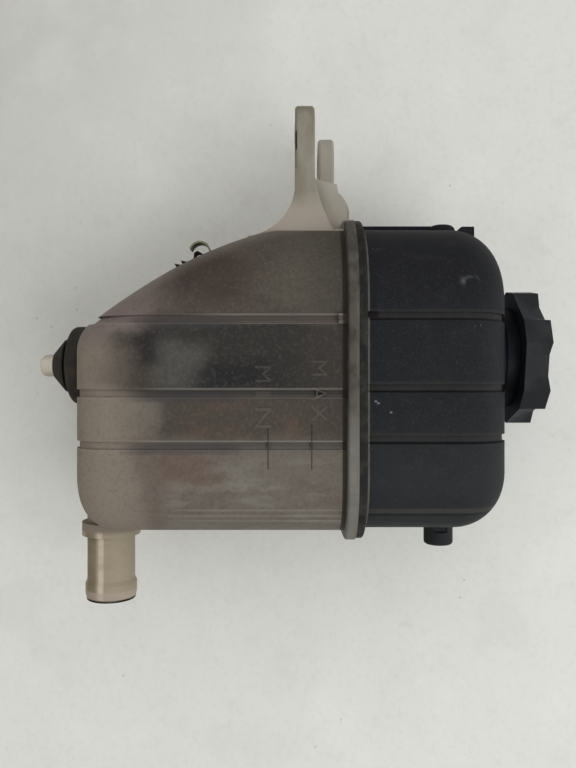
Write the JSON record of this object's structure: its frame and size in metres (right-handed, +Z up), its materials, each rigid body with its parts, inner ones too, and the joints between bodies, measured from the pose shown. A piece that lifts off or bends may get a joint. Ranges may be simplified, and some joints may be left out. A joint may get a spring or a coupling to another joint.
{
  "type": "coolant expansion tank",
  "caption": "Two-part moulded coolant expansion tank with welded flange, screw cap with pressure and vacuum valves, hose spigot, side port, fixing ears and bottom peg.",
  "frame": {"origin": "on the bottom peg's axis, half way up the grommet's groove that the tray's edge sits in", "axes": "+Z up along the peg towards the filler cap, +X towards the hose spigot, -Y towards the face with the level marks"},
  "size_m": [0.231, 0.1184, 0.2442],
  "materials": {
    "translucent_plastic": "translucent natural polypropylene, stained grey-brown",
    "black_plastic": "satin black polypropylene with dusty film",
    "grommet_rubber": "matt black rubber",
    "plated_steel": "zinc plated",
    "clip_plastic": "black nylon",
    "clip_steel": "dull olive plated spring steel",
    "cap_plastic": "fine grained black plastic",
    "cartridge_plastic": "smooth black plastic",
    "seal_rubber": "black sealing rubber",
    "retainer_plastic": "black nylon",
    "valve_brass": "turned brass",
    "spring_steel": "bright spring steel"
  },
  "bodies": {
    "tank": {"lower_shell": "translucent_plastic", "upper_shell": "black_plastic", "peg_grommet": "grommet_rubber", "near_ear_bush": "plated_steel", "far_ear_bush": "plated_steel", "harness_clip_base": "clip_plastic", "harness_clip_band": "clip_steel"},
    "cartridge": {"cap_cartridge": "cartridge_plastic", "cap_gasket": "seal_rubber", "upper_o_ring": "seal_rubber", "lower_o_ring": "seal_rubber", "spring_retainer": "retainer_plastic", "pressure_spring": "spring_steel"},
    "snap_ring": {"cap_snap_ring": "spring_steel"},
    "grip": {"cap_grip": "cap_plastic"},
    "pressure_valve": {"pressure_plate": "valve_brass", "pressure_seal": "seal_rubber", "vacuum_spring": "spring_steel"},
    "vacuum_valve": {"vacuum_valve": "valve_brass", "vacuum_keeper": "valve_brass"}
  },
  "joints": [
    {"name": "cap_lift_off", "type": "slide", "parent": "tank", "child": "cartridge", "axis": [0, 0, 1], "range_m": [0, 0.06]},
    {"name": "cap_rise", "type": "slide", "parent": "cartridge", "child": "snap_ring", "axis": [0, 0, 1], "range_m": [0, 0.005]},
    {"name": "cap_turn", "type": "hinge", "parent": "snap_ring", "child": "grip", "pos_m": [-0.004, 0, 0.222], "axis": [0, 0, 1], "range_deg": [0, 450]},
    {"name": "pressure_valve_lift", "type": "slide", "parent": "cartridge", "child": "pressure_valve", "axis": [0, 0, 1], "range_m": [0, 0.0025], "stiffness_N_per_m": 2400, "springref_m": -0.013, "deforming": ["pressure_spring"]},
    {"name": "vacuum_valve_drop", "type": "slide", "parent": "pressure_valve", "child": "vacuum_valve", "axis": [0, 0, -1], "range_m": [0, 0.002], "stiffness_N_per_m": 650, "springref_m": -0.001, "deforming": ["vacuum_spring"]}
  ],
  "couplings": [
    {"joint": "cap_rise", "follows": "cap_turn", "m_per_rad": 0.000636}
  ]
}
